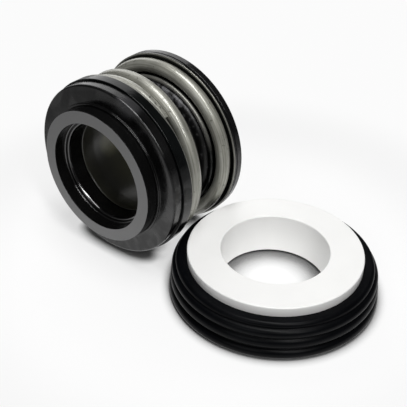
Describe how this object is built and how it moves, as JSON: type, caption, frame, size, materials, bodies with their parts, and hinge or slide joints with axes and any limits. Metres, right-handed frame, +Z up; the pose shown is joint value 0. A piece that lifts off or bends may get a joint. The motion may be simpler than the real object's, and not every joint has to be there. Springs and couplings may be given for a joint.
{
  "type": "component mechanical seal",
  "caption": "Rubber-bellows pump shaft seal: spring-loaded rotary head with a carbon face, lying on its side, beside its white ceramic seat in a ribbed rubber cup.",
  "frame": {"origin": "on the ground under the pair, at the middle of its outline in X and Y; the seat's centre is at X 0", "axes": "+X along the rotary head's axis, from its running face to its rear; +Y from the seat to the head; +Z up"},
  "size_m": [0.0392, 0.0694, 0.0353],
  "materials": {
    "carbon": "satin",
    "rubber": "satin",
    "retainer": "gloss",
    "spring_steel": "satin",
    "ceramic": "satin"
  },
  "bodies": {
    "base": {"rear_retainer": "retainer", "bellows": "rubber", "spring": "spring_steel", "seat_ring": "ceramic", "seat_cup": "rubber"},
    "face_group": {"primary_ring": "carbon", "front_retainer": "retainer"}
  },
  "joints": [
    {"name": "face_travel", "type": "slide", "parent": "base", "child": "face_group", "axis": [1, 0, 0], "range_m": [0, 0.0025], "stiffness_N_per_m": 8000, "deforming": ["spring", "bellows"]}
  ]
}
